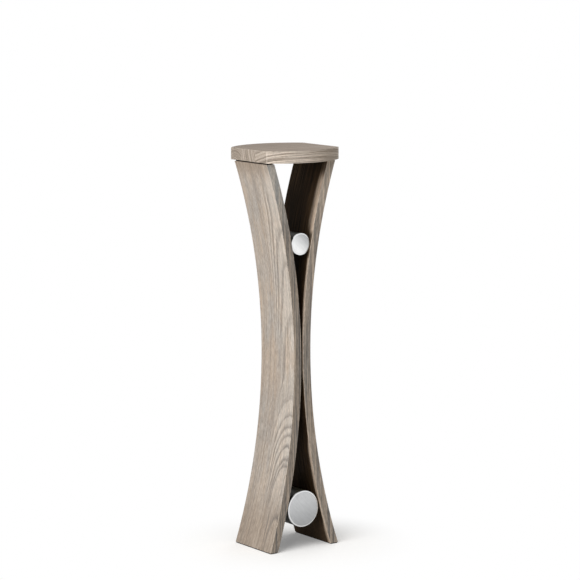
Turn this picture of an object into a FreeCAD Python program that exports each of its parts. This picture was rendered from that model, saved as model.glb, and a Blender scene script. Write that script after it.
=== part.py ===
import FreeCAD, Part
import math
import os

# Decorative pillar: two bent wooden panels, a bowed top plate and two capped round spacers.
# Millimetres. The origin is on the floor, midway between the panels and midway front to back.
# X runs from the left panel to the right one, Y from front to back, Z up.

# Top plate: straight ends, bowed front and back
overall_height = 1000.0
plate_thickness = 30.0
plate_end_overhang = 6.2
plate_side_overhang = 5.5
plate_bow = 46.0
plate_edge_round = 1.2

# Bent panels: the outer face is a hollow arc, nearest the middle at the waist.
# Seen from the side the front and back edges taper upwards and are a little hollow too.
panel_thickness = 21.8
panel_foot_depth = 156.0
panel_top_depth = 140.5
panel_edge_hollow = 2.4
panel_edge_round = 1.0
outer_face_radius = 1524.0
waist_height = 485.0
waist_gap = 6.0

# Joint between plate and panels: a strip that leaves a dark gap, with dowels through it
shadow_gap = 3.6
strip_inset = 3.0
dowel_diameter = 8.0
dowel_chamfer = 1.0
dowel_pitch = 42.0
dowels_per_side = 3
dowel_panel_depth = 16.0
dowel_plate_skin = 12.0

# Felt pads under the feet
pad_thickness = 2.0
pad_inset = 1.5

# Spacer tubes: each lies where its packings just fill the room to both inner faces
upper_tube_diameter = 54.2
lower_tube_diameter = 91.2
tube_wall = 3.0
upper_packing_thickness = 1.0
lower_packing_thickness = 4.3
packing_diameter = 18.0

# Metal caps pressed into the tube ends
cap_recess = 3.0
cap_flange_thickness = 4.0
cap_bevel_width = 3.0
cap_bevel_depth = 1.2
cap_spigot_length = 10.0
cap_spigot_wall = 2.5

# Hanger bolts from each tube into the panels, tightened from inside the tube
bolt_diameter = 6.0
bolt_tip_length = 4.0
bolt_panel_skin = 6.0
bolt_end_distance = 35.0
bolt_stick_out = 1.5
washer_diameter = 12.0
washer_thickness = 1.6
nut_across_flats = 10.0
nut_height = 5.0

# Fits shared by every hole, bore and spigot
fit_clearance = 0.1
hole_end_clearance = 1.0

# Heights and the bend, worked out from the sizes above
plate_underside = overall_height - plate_thickness
panel_top = plate_underside - shadow_gap
panel_foot = pad_thickness
inner_face_radius = outer_face_radius + panel_thickness
bend_centre_x = waist_gap / 2 + inner_face_radius

Vector = FreeCAD.Vector
AXIS_UP = Vector(0, 0, 1)
FRONT_TO_BACK = Vector(0, 1, 0)
SIDES = {"left": -1, "right": 1}


def face_x(radius, height):
    """Distance from the middle to a panel face of this radius, at this height."""
    return bend_centre_x - math.sqrt(radius ** 2 - (height - waist_height) ** 2)


def half_depth_at(height):
    """Half a panel's front-to-back depth, which follows its tapered, slightly hollow edge."""
    risen_share = (height - panel_foot) / (panel_top - panel_foot)
    remaining_share = 1 - risen_share
    straight = (panel_foot_depth * remaining_share + panel_top_depth * risen_share) / 2
    return straight - 4 * panel_edge_hollow * risen_share * remaining_share


def placed(shape, position, direction):
    """Turn a shape built along +Z so that it points this way from this position."""
    turn = FreeCAD.Rotation(AXIS_UP, direction)
    moved = shape.copy()
    moved.Placement = FreeCAD.Placement(position, turn)
    return moved


def rounded(shape, radius):
    """Ease every edge of a shape."""
    return shape.makeFillet(radius, shape.Edges)


def rod(radius, length, position, direction=AXIS_UP):
    """Round bar or drill from this position."""
    return Part.makeCylinder(radius, length, position, direction)


# Top plate

plate_half_width = face_x(outer_face_radius, panel_top) + plate_end_overhang
plate_half_end = panel_top_depth / 2 + plate_side_overhang


def plate_board():
    """Board with two straight ends and an arc along the front and the back."""
    front_left = Vector(-plate_half_width, -plate_half_end, plate_underside)
    front_right = Vector(plate_half_width, -plate_half_end, plate_underside)
    back_right = Vector(plate_half_width, plate_half_end, plate_underside)
    back_left = Vector(-plate_half_width, plate_half_end, plate_underside)
    front_middle = Vector(0, -plate_half_end - plate_bow, plate_underside)
    back_middle = Vector(0, plate_half_end + plate_bow, plate_underside)
    outline = [
        Part.Arc(front_left, front_middle, front_right).toShape(),
        Part.makeLine(front_right, back_right),
        Part.Arc(back_right, back_middle, back_left).toShape(),
        Part.makeLine(back_left, front_left),
    ]
    board = Part.Face(Part.Wire(outline)).extrude(AXIS_UP * plate_thickness)
    return rounded(board, plate_edge_round)


# Dowels from panel to plate

dowel_foot = panel_top - dowel_panel_depth
dowel_head = overall_height - dowel_plate_skin
dowel_middle = (dowel_foot + panel_top) / 2
dowel_x = (face_x(outer_face_radius, dowel_middle) + face_x(inner_face_radius, dowel_middle)) / 2


def dowel_places(side):
    """Foot of each dowel on one side, in a row centred on the panel."""
    first_y = -dowel_pitch * (dowels_per_side - 1) / 2
    return [Vector(side * dowel_x, first_y + dowel_pitch * row, dowel_foot) for row in range(dowels_per_side)]


def dowel_row(side):
    """Chamfered wooden dowels of one side."""
    dowels = []
    for place in dowel_places(side):
        blank = rod(dowel_diameter / 2, dowel_head - dowel_foot, place)
        rims = [edge for edge in blank.Edges if edge.isClosed()]
        dowels.append(blank.makeChamfer(dowel_chamfer, rims))
    return Part.makeCompound(dowels)


def dowel_holes(side):
    """Drillings that take one side's dowels in the panel, the strip and the plate."""
    radius = dowel_diameter / 2 + fit_clearance
    length = dowel_head - dowel_foot + 2 * hole_end_clearance
    drop = AXIS_UP * hole_end_clearance
    return Part.makeCompound([rod(radius, length, place - drop) for place in dowel_places(side)])


# Spacer tubes and their caps

class Spacer:
    """A round spacer between the panels, above or below the waist."""

    def __init__(self, diameter, packing_thickness, above_waist):
        self.radius = diameter / 2
        self.bore = self.radius - tube_wall
        self.panel_distance = self.radius + packing_thickness
        reach = inner_face_radius + self.panel_distance
        rise = math.sqrt(reach ** 2 - bend_centre_x ** 2)
        self.height = waist_height + above_waist * rise
        self.cap_face_y = half_depth_at(self.height) - cap_recess
        self.half_length = self.cap_face_y - cap_flange_thickness
        self.bolt_y = self.half_length - bolt_end_distance

    def towards_panel(self, side):
        """Direction from the tube's axis to where it comes nearest to a panel."""
        way = Vector(side * bend_centre_x, 0, waist_height - self.height)
        return way.normalize()

    def bolt_stations(self):
        """Place on the tube's axis and direction of each bolt: two a side, front and back."""
        stations = []
        for side in SIDES.values():
            for end in (-1, 1):
                stations.append((Vector(0, end * self.bolt_y, self.height), self.towards_panel(side)))
        return stations

    def along_bolts(self, shape, distance):
        """Copies of a piece built along +Z, this far from the axis on every bolt line."""
        copies = [placed(shape, start + way * distance, way) for start, way in self.bolt_stations()]
        return Part.makeCompound(copies)

    @property
    def washer_seat(self):
        """Distance from the axis at which a flat washer meets the round bore."""
        return math.sqrt(self.bore ** 2 - (washer_diameter / 2) ** 2) - fit_clearance

    @property
    def nut_seat(self):
        """Distance from the axis at which the nut bears on its washer."""
        return self.washer_seat - washer_thickness

    @property
    def bolt_start(self):
        """Distance from the axis to the bolt's end inside the tube."""
        return self.nut_seat - nut_height - bolt_stick_out

    @property
    def bolt_tip(self):
        """Distance from the axis to the bolt's point inside the panel."""
        return self.panel_distance + panel_thickness - bolt_panel_skin

    def bolt_holes(self):
        """Drillings through the tube wall into both panels, short of the outer faces."""
        depth = self.bolt_tip + hole_end_clearance
        drill = rod(bolt_diameter / 2 + fit_clearance, depth, Vector())
        return self.along_bolts(drill, 0)

    def lengthwise(self, radius, x, height):
        """Round bar as long as the tube, with its axis at this place."""
        start = Vector(x, -self.half_length, height)
        return rod(radius, 2 * self.half_length, start, FRONT_TO_BACK)

    def tube(self):
        """Tube with a cross hole for each bolt."""
        shell = self.lengthwise(self.radius, 0, self.height)
        bore = self.lengthwise(self.bore, 0, self.height)
        return shell.cut(bore).cut(self.bolt_holes())

    def packings(self):
        """Rubber packings on the bolts, hollowed to the tube on one side and the panel on the other."""
        blanks = self.along_bolts(rod(packing_diameter / 2, self.bolt_tip, Vector()), 0)
        packings = blanks.cut(self.lengthwise(self.radius, 0, self.height)).cut(self.bolt_holes())
        for side in SIDES.values():
            packings = packings.cut(self.lengthwise(inner_face_radius, side * bend_centre_x, waist_height))
        return packings

    def cap(self, end):
        """Bevelled disc with a hollow spigot, at the front end (-1) or the back end (1)."""
        spigot = self.bore - fit_clearance
        hollow = spigot - cap_spigot_wall
        spigot_end = cap_flange_thickness + cap_spigot_length
        corners = [
            Vector(0, 0, 0),
            Vector(self.radius - cap_bevel_width, 0, 0),
            Vector(self.radius, 0, cap_bevel_depth),
            Vector(self.radius, 0, cap_flange_thickness),
            Vector(spigot, 0, cap_flange_thickness),
            Vector(spigot, 0, spigot_end),
            Vector(hollow, 0, spigot_end),
            Vector(hollow, 0, cap_flange_thickness),
            Vector(0, 0, cap_flange_thickness),
        ]
        section = Part.Face(Part.makePolygon(corners + corners[:1]))
        turned = section.revolve(Vector(), AXIS_UP, 360)
        return placed(turned, Vector(0, end * self.cap_face_y, self.height), FRONT_TO_BACK * -end)

    def bolts(self):
        """Plain hanger bolts with a pointed end in the wood."""
        shank_length = self.bolt_tip - self.bolt_start - bolt_tip_length
        shank = rod(bolt_diameter / 2, shank_length, Vector())
        point = Part.makeCone(bolt_diameter / 2, 0, bolt_tip_length, AXIS_UP * shank_length)
        return self.along_bolts(shank.fuse(point), self.bolt_start)

    def washers(self):
        """Flat washers against the bore."""
        disc = rod(washer_diameter / 2, washer_thickness, Vector())
        hole = rod(bolt_diameter / 2 + fit_clearance, washer_thickness, Vector())
        return self.along_bolts(disc.cut(hole), self.nut_seat)

    def nuts(self):
        """Hexagon nuts under the washers."""
        corner_radius = nut_across_flats / 2 / math.cos(math.pi / 6)
        turns = [math.pi / 3 * corner for corner in range(7)]
        outline = [Vector(corner_radius * math.cos(turn), corner_radius * math.sin(turn), 0) for turn in turns]
        hexagon = Part.Face(Part.makePolygon(outline)).extrude(AXIS_UP * nut_height)
        hole = rod(bolt_diameter / 2 + fit_clearance, nut_height, Vector())
        return self.along_bolts(hexagon.cut(hole), self.nut_seat - nut_height)


SPACERS = {
    "upper": Spacer(upper_tube_diameter, upper_packing_thickness, 1),
    "lower": Spacer(lower_tube_diameter, lower_packing_thickness, -1),
}


# Bent panels

def face_arc_points(radius, side):
    """Foot, waist and top of one face's arc, on the middle plane."""
    return [Vector(side * face_x(radius, z), 0, z) for z in (panel_foot, waist_height, panel_top)]


def hollow_edge(end):
    """Front (-1) or back (1) edge of a panel seen from the side: a parabola from foot to top."""
    middle = (panel_foot + panel_top) / 2
    pull = (panel_foot_depth + panel_top_depth) / 4 - 2 * panel_edge_hollow
    curve = Part.BezierCurve()
    curve.setPoles([
        Vector(0, end * panel_foot_depth / 2, panel_foot),
        Vector(0, end * pull, middle),
        Vector(0, end * panel_top_depth / 2, panel_top),
    ])
    return curve.toShape()


def bent_panel(side):
    """Bent board, tapered in depth, eased all round and drilled for dowels and bolts."""
    outer = face_arc_points(outer_face_radius, side)
    inner = face_arc_points(inner_face_radius, side)
    outline = [
        Part.Arc(*outer).toShape(),
        Part.makeLine(outer[-1], inner[-1]),
        Part.Arc(*inner).toShape(),
        Part.makeLine(inner[0], outer[0]),
    ]
    deepest = max(panel_foot_depth, panel_top_depth)
    profile = Part.Face(Part.Wire(Part.__sortEdges__(outline)))
    profile.translate(FRONT_TO_BACK * (-deepest / 2))
    blank = profile.extrude(FRONT_TO_BACK * deepest)
    front_edge = hollow_edge(-1)
    back_edge = hollow_edge(1)
    side_view = [
        front_edge,
        Part.makeLine(front_edge.Vertexes[-1].Point, back_edge.Vertexes[-1].Point),
        back_edge,
        Part.makeLine(back_edge.Vertexes[0].Point, front_edge.Vertexes[0].Point),
    ]
    past_outer_face = Vector(side * bend_centre_x, 0, 0)
    taper = Part.Face(Part.Wire(Part.__sortEdges__(side_view))).extrude(past_outer_face)
    panel = rounded(blank.common(taper), panel_edge_round).cut(dowel_holes(side))
    for spacer in SPACERS.values():
        panel = panel.cut(spacer.bolt_holes())
    return panel


def end_strip(side, height, depth, inset, thickness):
    """Flat strip on a panel's end face, set in from its edges, rising from this height."""
    near = face_x(inner_face_radius, height) + inset
    far = face_x(outer_face_radius, height) - inset
    length = depth - 2 * inset
    left_x = min(side * near, side * far)
    return Part.makeBox(far - near, length, thickness, Vector(left_x, -length / 2, height))


def shadow_strip(side):
    """Dark strip between a panel's top and the plate, with its dowel holes."""
    strip = end_strip(side, panel_top, panel_top_depth, strip_inset, shadow_gap)
    return strip.cut(dowel_holes(side))


def foot_pad(side):
    """Felt pad under a panel's foot."""
    pad = end_strip(side, panel_foot, panel_foot_depth, pad_inset, pad_thickness)
    pad.translate(AXIS_UP * -pad_thickness)
    return pad


# Every piece under its own name

top_plate = plate_board()
nodes = {}
for side_name, side in SIDES.items():
    top_plate = top_plate.cut(dowel_holes(side))
    nodes[side_name + "_panel"] = bent_panel(side)
    nodes[side_name + "_shadow_strip"] = shadow_strip(side)
    nodes[side_name + "_plate_dowels"] = dowel_row(side)
    nodes[side_name + "_foot_pad"] = foot_pad(side)
nodes["top_plate"] = top_plate
for spacer_name, spacer in SPACERS.items():
    nodes[spacer_name + "_spacer_tube"] = spacer.tube()
    nodes[spacer_name + "_packings"] = spacer.packings()
    nodes[spacer_name + "_front_cap"] = spacer.cap(-1)
    nodes[spacer_name + "_rear_cap"] = spacer.cap(1)
    nodes[spacer_name + "_hanger_bolts"] = spacer.bolts()
    nodes[spacer_name + "_washers"] = spacer.washers()
    nodes[spacer_name + "_nuts"] = spacer.nuts()

os.makedirs("parts", exist_ok=True)
for name, shape in nodes.items():
    shape.exportStep("parts/" + name + ".step")
    print(name, len(shape.Solids), shape.isValid(), round(shape.Volume))
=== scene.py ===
import bpy
import math
from mathutils import Matrix, Vector


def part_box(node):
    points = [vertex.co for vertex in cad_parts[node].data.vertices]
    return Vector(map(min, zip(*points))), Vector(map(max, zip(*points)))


# Decorative pillar: finishes for two bent wooden panels, a bowed top plate and two capped round spacers.
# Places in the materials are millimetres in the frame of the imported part, colours are sRGB from 0 to 255.

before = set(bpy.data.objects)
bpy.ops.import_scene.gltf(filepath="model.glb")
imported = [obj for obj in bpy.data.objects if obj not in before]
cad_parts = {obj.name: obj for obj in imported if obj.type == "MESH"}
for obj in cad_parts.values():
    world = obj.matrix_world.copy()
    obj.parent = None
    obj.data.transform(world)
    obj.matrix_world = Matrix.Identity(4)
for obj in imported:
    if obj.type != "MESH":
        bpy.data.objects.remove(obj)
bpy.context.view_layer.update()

# The bend of the panels and the taper of their depth
OUTER_FACE_RADIUS = 1524.0
PANEL_THICKNESS = 21.8
WAIST_HEIGHT = 485.0
WAIST_GAP = 6.0
BEND_CENTRE_X = WAIST_GAP / 2 + OUTER_FACE_RADIUS + PANEL_THICKNESS
PANEL_FOOT_DEPTH = 156.0
PANEL_TOP_DEPTH = 140.5
PANEL_EDGE_HOLLOW = 2.4

MM_PER_METRE = 1000.0
PANEL_FOOT, PANEL_TOP = [corner.z * MM_PER_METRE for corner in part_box("left_panel")]
PLATE_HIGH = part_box("top_plate")[1] * MM_PER_METRE


# Shader sums

# How far one step of a seed moves a pattern
SEED_STEP = (17.3, 9.1, 5.7)


def tone(red, green, blue):
    """Linear colour of an sRGB tone from 0 to 255."""
    def linear(level):
        share = level / 255
        return share / 12.92 if share <= 0.04045 else ((share + 0.055) / 1.055) ** 2.4
    return (linear(red), linear(green), linear(blue), 1.0)


class Field:
    """A number, place or colour that varies over a surface. Sums on numbers add Math nodes."""

    def __init__(self, finish, socket):
        self.finish = finish
        self.socket = socket

    def math(self, operation, *terms):
        return self.finish.field("Math", {"operation": operation}, dict(enumerate((self, *terms))))

    def __add__(self, other):
        return self.math("ADD", other)

    def __sub__(self, other):
        return self.math("SUBTRACT", other)

    def __rsub__(self, other):
        return self.finish.field("Math", {"operation": "SUBTRACT"}, {0: other, 1: self})

    def __mul__(self, other):
        return self.math("MULTIPLY", other)

    def __truediv__(self, other):
        return self.math("DIVIDE", other)

    def __rtruediv__(self, other):
        return self.finish.field("Math", {"operation": "DIVIDE"}, {0: other, 1: self})

    def __pow__(self, other):
        return self.math("POWER", other)

    def __abs__(self):
        return self.math("ABSOLUTE")

    __radd__ = __add__
    __rmul__ = __mul__

    def rise(self, start, end):
        """Smooth from 0 at the start to 1 at the end, which may be the lower of the two."""
        limits = {"From Min": min(start, end), "From Max": max(start, end)}
        ends = {"To Min": 0.0, "To Max": 1.0} if start < end else {"To Min": 1.0, "To Max": 0.0}
        sockets = {"Value": self, **limits, **ends}
        return self.finish.field("MapRange", {"interpolation_type": "SMOOTHSTEP"}, sockets)

    def within(self, start, full, fading, end):
        """Rises from the start to full, and falls from fading to the end."""
        return self.rise(start, full) * self.rise(end, fading)


class Finish:
    """Shader of a named material or of the world. Every node of it comes from node()."""

    def __init__(self, owner):
        self.owner = owner
        self.owner.use_nodes = True
        self.tree = self.owner.node_tree
        self.tree.nodes.clear()

    def node(self, kind, settings=None, sockets=None):
        """Add a node: its settings first, then the values or links of its input sockets."""
        made = self.tree.nodes.new("ShaderNode" + kind)
        for name, value in (settings or {}).items():
            if name == "stops":
                self.set_stops(made.color_ramp, value)
            else:
                setattr(made, name, value)
        for name, value in (sockets or {}).items():
            if isinstance(value, Field):
                self.tree.links.new(value.socket, made.inputs[name])
            else:
                made.inputs[name].default_value = value
        return made

    @staticmethod
    def set_stops(ramp, stops):
        """Grey levels of a ramp, as pairs of position and level."""
        while len(ramp.elements) < len(stops):
            ramp.elements.new(1.0)
        for element, (position, level) in zip(ramp.elements, stops):
            element.position = position
            element.color = (level, level, level, 1.0)

    def field(self, kind, settings=None, sockets=None, output=0):
        return Field(self, self.node(kind, settings, sockets).outputs[output])

    def place(self):
        """Place on the object in millimetres, as three numbers."""
        metres = self.field("TexCoord", output="Object")
        scaled = self.field("VectorMath", {"operation": "SCALE"}, {0: metres, "Scale": MM_PER_METRE})
        return [Field(self, socket) for socket in self.node("SeparateXYZ", sockets={0: scaled}).outputs]

    def spot(self, *numbers):
        """A place made of three numbers."""
        return self.field("CombineXYZ", sockets=dict(enumerate(numbers)))

    def noise(self, spot, grain, seed=0.0, detail=2.0, roughness=0.5):
        """Cloudy pattern around 0.5, with clouds of these three lengths in millimetres."""
        scale = [1 / length for length in grain]
        shift = [seed * step for step in SEED_STEP]
        moved = self.field("VectorMath", {"operation": "MULTIPLY_ADD"}, {0: spot, 1: scale, 2: shift})
        sockets = {"Vector": moved, "Scale": 1.0, "Detail": detail, "Roughness": roughness}
        return self.field("TexNoise", {"noise_dimensions": "3D"}, sockets)

    def mix(self, share, first, second):
        """Colour between two colours."""
        return self.field("Mix", {"data_type": "RGBA"}, {0: share, 6: first, 7: second}, output=2)

    def laid_over(self, colour, *layers):
        """Colour with others laid over it in turn, as pairs of share and colour."""
        for share, layer in layers:
            colour = self.mix(share, colour, layer)
        return colour

    def brightened(self, colour, factor):
        return self.field("VectorMath", {"operation": "SCALE"}, {0: colour, "Scale": factor})

    def relief(self, height, depth_mm, strength):
        """Surface direction of a fine relief."""
        sockets = {"Strength": strength, "Distance": depth_mm / MM_PER_METRE, "Height": height}
        return self.field("Bump", None, sockets)

    def seen(self):
        """1 for rays from the camera, mirrored or not, and 0 for rays that carry light."""
        kinds = ("Camera", "Glossy", "Transmission")
        camera, glossy, through = [self.field("LightPath", output=f"Is {kind} Ray") for kind in kinds]
        return camera.math("MAXIMUM", glossy).math("MAXIMUM", through)

    def close(self, shader, kind="Material"):
        """End the tree with this shader on its surface."""
        self.node("Output" + kind, None, {"Surface": shader})
        return self.owner

    def surface(self, **sockets):
        """Close the material with a surface shader whose sockets are given by name."""
        named = {name.replace("_", " "): value for name, value in sockets.items()}
        return self.close(self.field("BsdfPrincipled", None, named))


# Wood of the bent panels

# Rings of the arched figure, by the height of each arch's top; a leg counts as the arch that it runs up to
LOW_RINGS = (213, 229, 261, 289, 311, 340, 380)
LOW_PALE_RINGS = (280, 304, 329, 366)
FOOT_RINGS = (84, 150)
SHADED_RING = (388,)
NEAR_RING = 580
HIGH_RINGS = (721, 803)
FAR_LEG = (700,)
THIN_LEGS = (800, 880, 960)
PALE_LEGS = (757, 840, 920, 996)

# An arch has fallen by this much where it has spread by that much to each side
ARCH_FALL = 100
LOW_ARCH_SPREAD = 23
LOW_ARCH_WIDENING = 0.167
HIGH_ARCH_SPREAD = 38

# Stained oak of the outer faces
GREY_OAK = tone(170, 161, 152)
FAWN_OAK = tone(180, 167, 154)
WARM_OAK = tone(176, 158, 141)
PALE_OAK = tone(198, 188, 177)
TAN_OAK = tone(178, 158, 138)
BLEACHED_OAK = tone(220, 209, 197)
HONEY_OAK = tone(186, 162, 138)
ASHEN_OAK = tone(166, 163, 159)
FOOT_OAK = tone(158, 143, 128)
# Painted shadow of the plate at the top of the outer face
PLATE_SHADOW_OAK = tone(146, 129, 112)
RING_GREY = tone(118, 112, 107)
LINE_GREY = tone(116, 108, 101)
BLOTCH_BROWN = tone(124, 110, 97)
PORE_BROWN = tone(98, 88, 78)
WORN_OUTER_ARRIS = tone(205, 192, 175)
# The inner arris line is wear and also a painted highlight
INNER_ARRIS_WEAR_AND_HIGHLIGHT = tone(205, 190, 173)

# Layers on the edges
LAYER_GREY = tone(113, 109, 105)
LAYER_FAWN = tone(172, 157, 141)
SLIVER_PALE = tone(186, 176, 165)
SLIVER_DARK = tone(96, 86, 76)
EDGE_TOP_BLUE = tone(180, 188, 190)
EDGE_TOP_FAWN = tone(206, 190, 172)

# Dark stain of the inner faces, which also stands in as painted shade between the panels, and unstained
# wood along the front edge, which stands in as painted light
STAIN_AND_SHADE_BLACK = tone(20, 11, 3)
STAIN_BROWN = tone(62, 46, 30)
STAIN_CLOUD = tone(72, 54, 35)
STAIN_PALER_TOP = tone(96, 79, 58)
# Painted light on the stain near the foot
INNER_FOOT_PAINTED_LIGHT = tone(88, 72, 56)
LIT_BARE_BROWN = tone(164, 143, 124)
LIT_BARE_PALE = tone(208, 189, 169)


def bent_place(x, z):
    """Height along the bent outer face and depth under it."""
    towards_centre = BEND_CENTRE_X - abs(x)
    above_waist = z - WAIST_HEIGHT
    angle = above_waist.math("ARCTAN2", towards_centre)
    reach = (towards_centre * towards_centre + above_waist * above_waist).math("SQRT")
    return angle * OUTER_FACE_RADIUS + WAIST_HEIGHT, reach - OUTER_FACE_RADIUS


def distance_from_edge(height, across):
    """Distance of a place on a panel from its nearer tapered front or back edge."""
    risen = (height - PANEL_FOOT) / (PANEL_TOP - PANEL_FOOT)
    straight = risen * ((PANEL_TOP_DEPTH - PANEL_FOOT_DEPTH) / 2) + PANEL_FOOT_DEPTH / 2
    return straight - 4 * PANEL_EDGE_HOLLOW * risen * (1 - risen) - abs(across)


def ring_marks(finish, ring, heights, onset, fade):
    """Marks that set in at each ring and fade upwards, at the latest below the next ring."""
    lowest, highest = heights[0] - onset, heights[-1] + fade
    stops = []
    for height, following in zip(heights, heights[1:] + (highest + onset,)):
        fade_end = min(height + fade, following - onset)
        stops += [(height - onset, 0.0), (height, 1.0), (fade_end, 0.0)]
    shares = [((place - lowest) / (highest - lowest), level) for place, level in stops]
    return finish.field("ValToRGB", {"stops": shares}, {"Fac": (ring - lowest) / (highest - lowest)})


def panel_figure(finish, spot, along, across, apex_y, lean, seed):
    """Dark arches and legs, pale lines beside them, pale wood, tan patches and lined wood, as shares."""
    wander = finish.noise(spot, (230, 300, 80), seed) * 6 - 3 - lean * (along - WAIST_HEIGHT)
    coarse_jag = finish.noise(spot, (18, 7, 7), seed + 1) * 10
    fine_jag = finish.noise(spot, (5, 2.4, 2.4), seed + 1.5) * 6
    jag = coarse_jag + fine_jag - 8
    aside = abs(across - apex_y + wander)
    spread = (aside / (LOW_ARCH_SPREAD + LOW_ARCH_WIDENING * along)) ** 2
    low_ring = along + ARCH_FALL * spread + jag
    squeeze = 10 * along.within(365, 430, 425, 540)
    high_ring = along + ARCH_FALL * ((aside + squeeze) / HIGH_ARCH_SPREAD) ** 2 + jag
    leg_ring = high_ring - 20 * along.rise(610, 730) - 40 * along.rise(830, 900)

    under = low_ring.rise(400, 388)
    over = (1 - under) * along.rise(335, 385)
    in_arch = spread.rise(1.8, 0.9)
    on_low_leg = spread.rise(0.15, 0.6)
    on_high_leg = aside.rise(18, 32)
    from_leg = aside - 79 + 0.06 * along
    legs = over * along.within(400, 470, 870, 930) * aside.within(17, 30, 62, 76)

    low_marks = ring_marks(finish, low_ring, LOW_RINGS, onset=5, fade=12) * in_arch
    low_marks = low_marks * (0.8 - 0.3 * low_ring.rise(300, 370))
    low_pale = ring_marks(finish, low_ring, LOW_PALE_RINGS, onset=9, fade=9) * on_low_leg * in_arch * under
    foot_marks = ring_marks(finish, low_ring, FOOT_RINGS, onset=10, fade=34)
    foot_marks = foot_marks * low_ring.rise(150, 120).math("MAXIMUM", on_low_leg)
    shade = ring_marks(finish, low_ring, SHADED_RING, onset=4, fade=70) * spread.rise(0.6, 0.2)

    stout = on_high_leg * along.within(395, 450, 495, 525)
    from_near_ring = (high_ring - NEAR_RING - 26 * on_high_leg) / (1 + 0.8 * stout)
    near_mark = from_near_ring.within(-18, -8, 6, 26) * (0.34 + 0.38 * stout)
    high_mark = ring_marks(finish, high_ring, HIGH_RINGS, onset=12, fade=26) * (0.5 - 0.5 * on_high_leg)
    far_leg = ring_marks(finish, leg_ring, FAR_LEG, onset=12, fade=32) * aside.rise(12, 24)
    far_leg = far_leg * (0.25 + 0.4 * along.rise(530, 570))
    high_marks = (near_mark + high_mark + far_leg) * over
    thin_marks = ring_marks(finish, leg_ring, THIN_LEGS, onset=14, fade=34) * legs
    pale_marks = ring_marks(finish, leg_ring, PALE_LEGS, onset=20, fade=20) * legs
    pale_marks = pale_marks * from_leg.rise(-14, -4) * along.rise(470, 540)

    come_and_go = 0.6 + 0.4 * finish.noise(spot, (45, 14, 14), seed + 2).rise(0.3, 0.6)
    leg_come_and_go = 0.55 + 0.45 * finish.noise(spot, (110, 9, 9), seed + 2.5).rise(0.36, 0.56)
    dark = (low_marks + foot_marks * 0.9 + shade * 0.3) * come_and_go
    dark = dark.math("MAXIMUM", high_marks * (0.55 + 0.45 * come_and_go))
    dark = dark.math("MAXIMUM", thin_marks * 0.58 * leg_come_and_go)
    pale_lines = 0.6 * (pale_marks + low_pale) * leg_come_and_go
    pale_wood = under * spread.rise(0.9, 0.3) * (0.5 + 0.5 * along.rise(150, 260))
    pale_wood = pale_wood + (1 - under) * from_leg.rise(4, -14) + 0.5 * low_ring.rise(84, 74)
    tan = along.within(420, 460, 515, 560) * aside.within(10, 18, 30, 40)
    tan = tan + along.within(440, 470, 490, 515) * aside.rise(10, 4)
    return dark, pale_lines, pale_wood, tan, from_leg.within(0, 10, 30, 60)


def layered_edge(finish, chord, along, seed, light, top_tone):
    """Streaked layers of a bent board on its front and back edges."""
    bands = finish.noise(chord, (240, 40, 3.6), seed + 10, detail=3, roughness=0.6)
    slivers = finish.noise(chord, (70, 20, 1.5), seed + 11, detail=2, roughness=0.6)
    upper = along.rise(740, 960)
    edge = finish.laid_over(
        LAYER_GREY,
        (bands.rise(0.36, 0.64), LAYER_FAWN),
        (slivers.rise(0.55, 0.75) * 0.55, SLIVER_PALE),
        (slivers.rise(0.42, 0.28) * 0.6, SLIVER_DARK),
        (upper * 0.3, top_tone),
    )
    edge = finish.brightened(edge, 1 + 0.2 * upper)
    darker = 0.1 * along.within(270, 340, 430, 470) + 0.06 * along.rise(60, 30)
    return finish.brightened(edge, light - darker)


def inside_stain_and_shade(finish, along, across, from_edge, threads, fibres, zones):
    """Dark stain that is also painted shade between the panels, with a band of unstained wood along the
    front edge that is painted light, broken by painted shadows under the plate and beside the upper spacer.
    """
    # How far the painted light along the front edge reaches, by height
    reach = 9 - 6 * along.rise(240, 290) + 3 * along.rise(410, 460)
    reach = reach + 11 * along.rise(735, 830) - 4 * along.rise(890, 970)
    reach = (reach - 3 * along.within(40, 70, 110, 150)) * (0.5 + threads)
    # Painted shadows of the plate and of the upper spacer across that band
    plate_shadow = along.rise(915, 948)
    spacer_shadow = along.within(722, 734, 782, 798)
    lit_bare_band = (from_edge / reach).rise(1.6, 0.3) * across.rise(0, -30)
    lit_bare_band = lit_bare_band * (1 - 0.85 * plate_shadow) * (1 - 0.85 * spacer_shadow)
    bare_grain = (0.6 * threads + 0.4 * fibres).rise(0.36, 0.62)
    # Paler streaks on the stain at the top, towards the back
    paler_top = along.rise(860, 930) * across.rise(-10, 40) * threads.rise(0.4, 0.6)
    return finish.laid_over(
        STAIN_AND_SHADE_BLACK,
        (threads.rise(0.38, 0.66), STAIN_BROWN),
        (zones.rise(0.45, 0.65) * 0.7, STAIN_CLOUD),
        (paler_top * 0.6, STAIN_PALER_TOP),
        # Painted light on the stain near the foot
        (along.rise(75, 30) * 0.4, INNER_FOOT_PAINTED_LIGHT),
        (lit_bare_band, finish.mix(bare_grain, LIT_BARE_BROWN, LIT_BARE_PALE)),
    )


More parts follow.
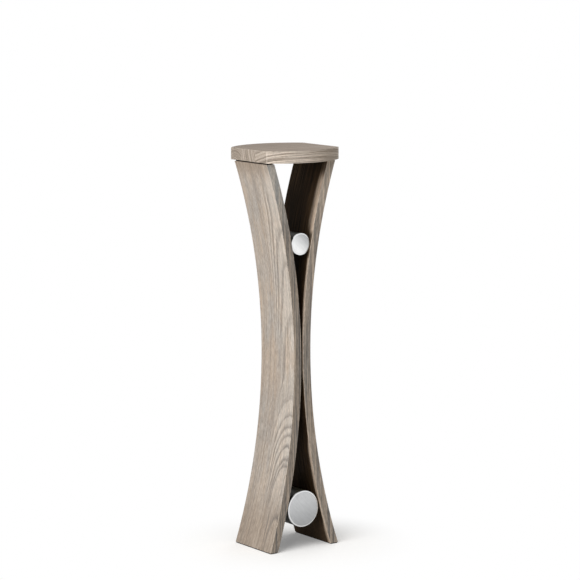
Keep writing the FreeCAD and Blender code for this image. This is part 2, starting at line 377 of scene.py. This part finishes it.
def panel_wood(name, apex_y, lean, seed, edge_light, edge_top):
    """Grey-stained bent oak: arched figure outside, streaked layers on the edges, dark stain inside that is
    also painted shade, with painted light along its front edge.
    """
    finish = Finish(bpy.data.materials.new(name))
    x, across, z = finish.place()
    along, layer = bent_place(x, z)
    spot = finish.spot(along, across, layer)
    from_edge = distance_from_edge(z, across)
    figure = panel_figure(finish, spot, along, across, apex_y, lean, seed)
    rings, pale_lines, pale_wood, tan, lined = figure

    fibres = finish.noise(spot, (15, 2.0, 2.0), seed + 3, detail=2, roughness=0.6)
    flecks = finish.noise(spot, (7, 3.6, 3.6), seed + 4, detail=2, roughness=0.6)
    threads = finish.noise(spot, (140, 1.7, 1.7), seed + 5, detail=2, roughness=0.6)
    clouds = finish.noise(spot, (36, 12, 12), seed + 6, detail=4, roughness=0.65)
    zones = finish.noise(spot, (130, 34, 34), seed + 7, detail=4, roughness=0.6)
    pores = finish.noise(spot, (11, 0.9, 0.9), seed + 8, detail=1).rise(0.58, 0.72)
    slanted = finish.spot(along, across + along * 0.06 + 5 * clouds, layer)
    lines = finish.noise(slanted, (330, 3.4, 3.4), seed + 9, detail=1).rise(0.54, 0.66)
    hue = finish.noise(spot, (70, 9, 9), seed + 12, detail=4, roughness=0.65)
    warm = along.within(345, 400, 480, 570) * across.rise(-25, 10) * zones.rise(0.3, 0.5)
    blotches = across.rise(30, 68) * flecks.rise(0.42, 0.62) * clouds.rise(0.4, 0.6)

    face = finish.laid_over(
        GREY_OAK,
        (zones.rise(0.34, 0.66), FAWN_OAK),
        (warm * 0.4, WARM_OAK),
        (pale_wood * 0.75, PALE_OAK),
        (tan * 0.45, TAN_OAK),
        (pale_lines, BLEACHED_OAK),
        (hue.rise(0.5, 0.72) * 0.4, HONEY_OAK),
        (hue.rise(0.5, 0.28) * 0.4, ASHEN_OAK),
        (along.rise(170, 40) * 0.75, FOOT_OAK),
        # Painted shadow of the plate at the top of the outer face
        (along.rise(920, 972) * 0.6, PLATE_SHADOW_OAK),
        (rings, RING_GREY),
        (lines * (0.6 + 0.4 * lined) * 0.45, LINE_GREY),
        (blotches * 0.4, BLOTCH_BROWN),
    )
    edge = layered_edge(finish, finish.spot(z, across, x), along, seed, edge_light, edge_top)
    # Stain inside that is also painted shade, with painted light along the front edge
    stain = inside_stain_and_shade(finish, along, across, from_edge, threads, fibres, zones)

    inner_skin = PANEL_THICKNESS - layer
    inside = inner_skin.rise(1.0, 0.3) * from_edge.rise(0.6, 1.4)
    outer_arris = layer.rise(1.6, 0.4) * from_edge.rise(1.6, 0.4)
    inner_arris = inner_skin.rise(1.8, 0.8) * from_edge.rise(1.8, 0.6)
    rubbed = flecks.rise(0.35, 0.6) * 0.5
    light = 1.15 * fibres + 0.25 * flecks + 0.85 * threads + 0.1 * clouds - 0.19
    colour = finish.mix(from_edge.rise(1.0, 0.3), face, edge)
    colour = finish.laid_over(
        finish.brightened(colour, light),
        (pores * 0.3, PORE_BROWN),
        (outer_arris * rubbed, WORN_OUTER_ARRIS),
        (inside, stain),
        # The inner arris line is wear and also a painted highlight
        (inner_arris * rubbed, INNER_ARRIS_WEAR_AND_HIGHLIGHT),
    )

    height = 0.5 * threads + 0.4 * fibres - 0.6 * pores - 0.5 * rings
    return finish.surface(
        Base_Color=colour,
        Roughness=0.6 + 0.2 * threads,
        Specular_IOR_Level=0.06,
        Normal=finish.relief(height, depth_mm=0.35, strength=0.5),
    )


# Wood of the top plate

STAVE_EDGES = (-30.0, 30.0)
STAVE_HEARTS = ((-175.0, 400.0), (-220.0, -40.0), (58.0, 42.0))
STAVE_TINTS = (0.25, 0.1, 1.2)
STAVE_JOINT = 0.1

PLATE_RING_BROWN = tone(110, 97, 85)
PLATE_OAK = tone(214, 200, 185)
PLATE_CLOUD = tone(160, 151, 142)
PLATE_STAVE_TINT = tone(150, 138, 126)
PLATE_END_OAK = tone(172, 158, 143)
PLATE_FRONT_BROWN = tone(128, 108, 82)
# Painted shade on the top face
PLATE_TOP_SHADE_BROWN = tone(121, 108, 96)
PLATE_PORE = tone(100, 90, 80)
# Wear along the rims, partly a painted highlight
PLATE_WEAR_AND_HIGHLIGHT = tone(218, 208, 196)


def plate_wood(name, seed):
    """Grey-stained oak staves glued edge to edge, long grain from end to end."""
    finish = Finish(bpy.data.materials.new(name))
    x, y, z = finish.place()
    depth = PLATE_HIGH.z - z
    spot = finish.spot(x, y, z)
    drift = finish.noise(spot, (170, 45, 45), seed) * 7 - 3.5
    rings = 0.0
    tint = 0.0
    for number, (heart_y, heart_depth) in enumerate(STAVE_HEARTS):
        aside, below = y - heart_y, depth - heart_depth
        reach = (aside * aside + below * below).math("SQRT") + drift
        ring_spot = finish.spot(x, reach, 0.0)
        grown = finish.noise(ring_spot, (190, 2.6, 1), seed + number, detail=3, roughness=0.6)
        here = 1.0
        if number > 0:
            joint = STAVE_EDGES[number - 1]
            here = y.rise(joint - STAVE_JOINT, joint + STAVE_JOINT)
        if number < len(STAVE_EDGES):
            joint = STAVE_EDGES[number]
            here = here * y.rise(joint + STAVE_JOINT, joint - STAVE_JOINT)
        rings = rings + grown * here
        tint = tint + here * STAVE_TINTS[number]
    flecks = finish.noise(spot, (14, 4, 4), seed + 4, detail=2, roughness=0.6)
    threads = finish.noise(spot, (60, 1.6, 1.6), seed + 5, detail=2, roughness=0.6)
    pores = finish.noise(spot, (12, 0.8, 0.8), seed + 6, detail=1).rise(0.58, 0.72)
    clouds = finish.noise(spot, (60, 22, 22), seed + 7, detail=3)
    from_end = PLATE_HIGH.x - abs(x)
    end_grain = from_end.rise(1.2, 0.4)
    upper_face = depth.rise(1.0, 0.3)
    front_right = x.rise(-40, 60) * y.rise(-62, -74)
    # The light rim under the top edge is partly wear and partly a painted highlight
    rim_wear_and_highlight = depth.rise(1.6, 0.9) * (1 - upper_face)
    worn_corner = from_end.rise(4.0, 1.5) * (1 - end_grain) * (1 - upper_face)
    wear_and_highlight = rim_wear_and_highlight.math("MAXIMUM", worn_corner * 0.5) * flecks.rise(0.3, 0.5)

    light = 0.4 + 0.6 * threads + 0.4 * flecks + 0.28 * clouds - 0.2 * end_grain
    colour = finish.laid_over(
        PLATE_RING_BROWN,
        (rings.rise(0.37, 0.59), PLATE_OAK),
        (clouds.rise(0.4, 0.65) * 0.35, PLATE_CLOUD),
        (tint * 0.3, PLATE_STAVE_TINT),
        (end_grain * 0.25, PLATE_END_OAK),
        (front_right * 0.25, PLATE_FRONT_BROWN),
        # Painted shade on the top face
        (upper_face * 0.75, PLATE_TOP_SHADE_BROWN),
    )
    colour = finish.laid_over(
        finish.brightened(colour, light),
        (pores * 0.35, PLATE_PORE),
        (wear_and_highlight * 0.6, PLATE_WEAR_AND_HIGHLIGHT),
    )
    height = 0.5 * threads - 0.6 * pores + 0.5 * rings
    return finish.surface(
        Base_Color=colour,
        Roughness=0.58 + 0.2 * threads,
        Specular_IOR_Level=0.15,
        Normal=finish.relief(height, depth_mm=0.35, strength=0.5),
    )


def dowel_wood():
    """Plain turned beech."""
    finish = Finish(bpy.data.materials.new("dowel_wood"))
    x, y, z = finish.place()
    flecks = finish.noise(finish.spot(x, y, z), (0.7, 0.7, 9), detail=2)
    colour = finish.mix(flecks.rise(0.35, 0.7), tone(206, 171, 128), tone(184, 145, 102))
    return finish.surface(
        Base_Color=colour,
        Roughness=0.55 + 0.15 * flecks,
        Specular_IOR_Level=0.3,
        Normal=finish.relief(flecks, depth_mm=0.1, strength=0.3),
    )


# Dark and metal finishes

def black_strip():
    """Matt black strip with a faint drawn grain; its black also stands in as painted shade in the gap under
    the plate.
    """
    finish = Finish(bpy.data.materials.new("black_strip"))
    x, y, z = finish.place()
    grain = finish.noise(finish.spot(x, y, z), (0.8, 20, 0.8), detail=2)
    colour = finish.mix(grain, tone(8, 7, 7), tone(20, 18, 17))
    return finish.surface(Base_Color=colour, Roughness=0.7 + 0.2 * grain, Specular_IOR_Level=0.1)


def black_felt():
    """Pressed felt: short tangled fibres, dark enough to stand in as painted contact shade along the foot.
    """
    finish = Finish(bpy.data.materials.new("black_felt"))
    x, y, z = finish.place()
    spot = finish.spot(x, y, z)
    tangle = finish.noise(spot, (0.5, 0.5, 0.5), detail=4, roughness=0.7)
    colour = finish.mix(tangle.rise(0.35, 0.7), tone(12, 11, 10), tone(38, 34, 31))
    return finish.surface(
        Base_Color=colour,
        Roughness=0.95,
        Specular_IOR_Level=0.1,
        Sheen_Weight=0.3,
        Normal=finish.relief(tangle, depth_mm=0.4, strength=0.8),
    )


def black_rubber():
    """Moulded rubber, dusty and matt."""
    finish = Finish(bpy.data.materials.new("black_rubber"))
    x, y, z = finish.place()
    grain = finish.noise(finish.spot(x, y, z), (1.2, 1.2, 1.2), detail=3)
    colour = finish.mix(grain, tone(20, 20, 19), tone(40, 39, 37))
    return finish.surface(
        Base_Color=colour,
        Roughness=0.75 + 0.15 * grain,
        Specular_IOR_Level=0.3,
        Normal=finish.relief(grain, depth_mm=0.1, strength=0.4),
    )


def black_tube():
    """Satin black paint with a little orange peel."""
    finish = Finish(bpy.data.materials.new("black_tube"))
    x, y, z = finish.place()
    spot = finish.spot(x, y, z)
    peel = finish.noise(spot, (1.6, 1.6, 1.6), detail=1)
    dust = finish.noise(spot, (40, 40, 40), seed=3, detail=4, roughness=0.6)
    colour = finish.mix(dust.rise(0.4, 0.75), tone(20, 19, 13), tone(56, 54, 41))
    return finish.surface(
        Base_Color=colour,
        Roughness=0.36 + 0.2 * dust,
        Specular_IOR_Level=0.2,
        Normal=finish.relief(peel, depth_mm=0.03, strength=0.3),
    )


CAP_BEVEL = 3.0
# Painted highlight on the polished bevel
BEVEL_HIGHLIGHT_WHITE = tone(236, 237, 238)
# Both caps are the same aluminium; their tones are painted reflections, the upper bright and shaded towards
# the upper right, the lower grey and shaded towards the bottom
UPPER_CAP_REFLECTION = {"light": (246, 246, 246), "shaded_reflection": (180, 181, 182), "shaded_reflection_turn": math.radians(45)}
LOWER_CAP_REFLECTION = {"light": (197, 198, 199), "shaded_reflection": (160, 161, 162), "shaded_reflection_turn": math.radians(-80)}


def turned_cap(node, light, shaded_reflection, shaded_reflection_turn):
    """Satin aluminium faced on a lathe, with a painted highlight on the polished bevel and a painted
    reflection over the face: light on one side, shaded on the side this far round from the right.
    """
    low, high = [corner * MM_PER_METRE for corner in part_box(node)]
    middle = (low + high) / 2
    radius = (high.x - low.x) / 2
    finish = Finish(bpy.data.materials.new(node + "_metal"))
    x, y, z = finish.place()
    right = (x - middle.x) / radius
    up = (z - middle.z) / radius
    reach = (right * right + up * up).math("SQRT")
    towards_shaded_reflection = right * math.cos(shaded_reflection_turn) + up * math.sin(shaded_reflection_turn)
    grooves = finish.noise(finish.spot(reach * radius, 0.0, 0.0), (0.35, 1, 1), detail=2)
    bloom = finish.noise(finish.spot(x, y, z), (9, 9, 9), seed=2, detail=3, roughness=0.6)
    from_rim = (1 - reach) * radius
    bevel = from_rim.rise(CAP_BEVEL + 0.2, CAP_BEVEL - 0.2)
    # Painted shade line just inside the bevel
    bevel_edge_shade = from_rim.rise(CAP_BEVEL + 1.6, CAP_BEVEL + 0.6) * (1 - bevel)
    brushed = finish.noise(finish.spot(x + z, y, x - z), (4, 9, 30), seed=5, detail=3, roughness=0.6)
    # Painted reflection across the face
    face = finish.mix((towards_shaded_reflection + 0.5 * bloom).rise(-0.5, 1.3), tone(*light), tone(*shaded_reflection))
    face = finish.brightened(face, 0.7 + 0.3 * bloom + 0.3 * brushed - 0.14 * bevel_edge_shade)
    # Painted highlight on the bevel
    colour = finish.mix(bevel * 0.7, face, BEVEL_HIGHLIGHT_WHITE)
    return finish.surface(
        Base_Color=colour,
        Metallic=1.0,
        Roughness=0.36 + 0.12 * bloom - 0.12 * bevel,
        Normal=finish.relief(grooves, depth_mm=0.02, strength=0.2),
    )


def zinc_steel():
    """Bright zinc plate with a faint spangle."""
    finish = Finish(bpy.data.materials.new("zinc_steel"))
    x, y, z = finish.place()
    spangle = finish.noise(finish.spot(x, y, z), (1.5, 1.5, 1.5), detail=2)
    colour = finish.mix(spangle, tone(176, 180, 184), tone(208, 210, 212))
    return finish.surface(Base_Color=colour, Metallic=1.0, Roughness=0.28 + 0.2 * spangle)


# Dress the pieces

def dress(material, *names):
    for name in names:
        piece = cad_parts[name]
        piece.data.materials.clear()
        piece.data.materials.append(material)


left_wood = panel_wood(
    "left_panel_wood", apex_y=-66.0, lean=0.0, seed=0.0, edge_light=1.0, edge_top=EDGE_TOP_BLUE
)
right_wood = panel_wood(
    "right_panel_wood", apex_y=22.0, lean=0.03, seed=31.0, edge_light=1.12, edge_top=EDGE_TOP_FAWN
)
dress(left_wood, "left_panel")
dress(right_wood, "right_panel")
dress(plate_wood("top_plate_wood", seed=61.0), "top_plate")
dress(dowel_wood(), "left_plate_dowels", "right_plate_dowels")
dress(black_strip(), "left_shadow_strip", "right_shadow_strip")
dress(black_felt(), "left_foot_pad", "right_foot_pad")
dress(black_tube(), "upper_spacer_tube", "lower_spacer_tube")
dress(black_rubber(), "upper_packings", "lower_packings")
for side in ("front", "rear"):
    upper_cap = f"upper_{side}_cap"
    lower_cap = f"lower_{side}_cap"
    dress(turned_cap(upper_cap, **UPPER_CAP_REFLECTION), upper_cap)
    dress(turned_cap(lower_cap, **LOWER_CAP_REFLECTION), lower_cap)
zinc = zinc_steel()
for level in ("upper", "lower"):
    dress(zinc, level + "_hanger_bolts", level + "_washers", level + "_nuts")


# Floor, light and camera, in metres

FLOOR_HALF_WIDTH = 12.0
FLOOR_TONE = (236, 235, 233)
FLOOR_GLOW = 0.2
SHADE_REACH_MM = (105.0, 350.0)
WHITE = (1, 1, 1, 1)


def studio_floor():
    """Pale floor that turns white away from the pillar."""
    corners = [(-1, -1), (1, -1), (1, 1), (-1, 1)]
    mesh = bpy.data.meshes.new("studio_floor")
    points = [(x * FLOOR_HALF_WIDTH, y * FLOOR_HALF_WIDTH, 0) for x, y in corners]
    mesh.from_pydata(points, [], [(0, 1, 2, 3)])
    floor = bpy.data.objects.new("studio_floor", mesh)
    bpy.context.scene.collection.objects.link(floor)
    finish = Finish(bpy.data.materials.new("studio_floor"))
    x, y, _ = finish.place()
    away = (x * x + y * y).math("SQRT").rise(*SHADE_REACH_MM)
    seen = finish.seen()
    matt = finish.field("BsdfDiffuse", None, {"Color": tone(*FLOOR_TONE)})
    glow = finish.field("Emission", None, {"Color": WHITE, "Strength": seen * FLOOR_GLOW})
    near = finish.field("AddShader", None, {0: matt, 1: glow})
    white = finish.field("Emission", None, {"Color": WHITE, "Strength": 1.0})
    blend = finish.field("MixShader", None, {0: away * seen, 1: near, 2: white})
    mesh.materials.append(finish.close(blend))


def studio_world(ambient):
    """White to the camera and in reflections, soft grey light otherwise."""
    finish = Finish(bpy.data.worlds.new("studio"))
    strength = ambient + (1 - ambient) * finish.seen()
    sky = finish.field("Background", None, {"Color": WHITE, "Strength": strength})
    bpy.context.scene.world = finish.close(sky, "World")


LAMP_AIM = Vector((0, 0, 0.5))


def soft_lamp(name, azimuth, elevation, distance, width, power):
    """Square lamp aimed at the pillar's middle; azimuth 0 is the front, negative is the left."""
    lamp = bpy.data.lights.new(name, "AREA")
    lamp.size = width
    lamp.energy = power
    holder = bpy.data.objects.new(name, lamp)
    turn = math.radians(azimuth)
    lift = math.radians(elevation)
    flat = math.cos(lift)
    way = Vector((math.sin(turn) * flat, -math.cos(turn) * flat, math.sin(lift)))
    holder.location = LAMP_AIM + way * distance
    holder.rotation_mode = "QUATERNION"
    holder.rotation_quaternion = way.to_track_quat("Z", "Y")
    holder.visible_camera = False
    bpy.context.scene.collection.objects.link(holder)


CAMERA_TURN = math.radians(34.89)
CAMERA_AIM_ASIDE = math.radians(0.1030)
CAMERA_PITCH = math.radians(8.186)
CAMERA_ROLL = math.radians(-0.27)
CAMERA_DISTANCE = 6.211
CAMERA_HEIGHT = 1.5369
CAMERA_LENS_MM = 156.71
CAMERA_SENSOR_MM = 36.0


def photo_camera():
    """Long lens from the front left, a little above the plate."""
    camera = bpy.data.cameras.new("photo_camera")
    camera.lens = CAMERA_LENS_MM
    camera.sensor_width = CAMERA_SENSOR_MM
    holder = bpy.data.objects.new("photo_camera", camera)
    aim = CAMERA_TURN + CAMERA_AIM_ASIDE
    flat = math.cos(CAMERA_PITCH)
    forward = Vector((math.sin(aim) * flat, math.cos(aim) * flat, -math.sin(CAMERA_PITCH)))
    level = Vector((math.cos(aim), -math.sin(aim), 0))
    upright = level.cross(forward)
    right = level * math.cos(CAMERA_ROLL) + upright * math.sin(CAMERA_ROLL)
    up = upright * math.cos(CAMERA_ROLL) - level * math.sin(CAMERA_ROLL)
    axes = Matrix((right, up, -forward)).transposed().to_4x4()
    left = math.sin(CAMERA_TURN) * CAMERA_DISTANCE
    front = math.cos(CAMERA_TURN) * CAMERA_DISTANCE
    holder.matrix_world = Matrix.Translation((-left, -front, CAMERA_HEIGHT)) @ axes
    bpy.context.scene.collection.objects.link(holder)
    bpy.context.scene.camera = holder


studio_floor()
studio_world(ambient=0.29)
soft_lamp("key_lamp", azimuth=-70, elevation=32, distance=3.6, width=2.8, power=116)
soft_lamp("top_lamp", azimuth=-20, elevation=75, distance=3.2, width=2.6, power=26)
soft_lamp("fill_lamp", azimuth=120, elevation=12, distance=3.6, width=2.4, power=36)
photo_camera()
bpy.context.scene.view_settings.view_transform = "Standard"
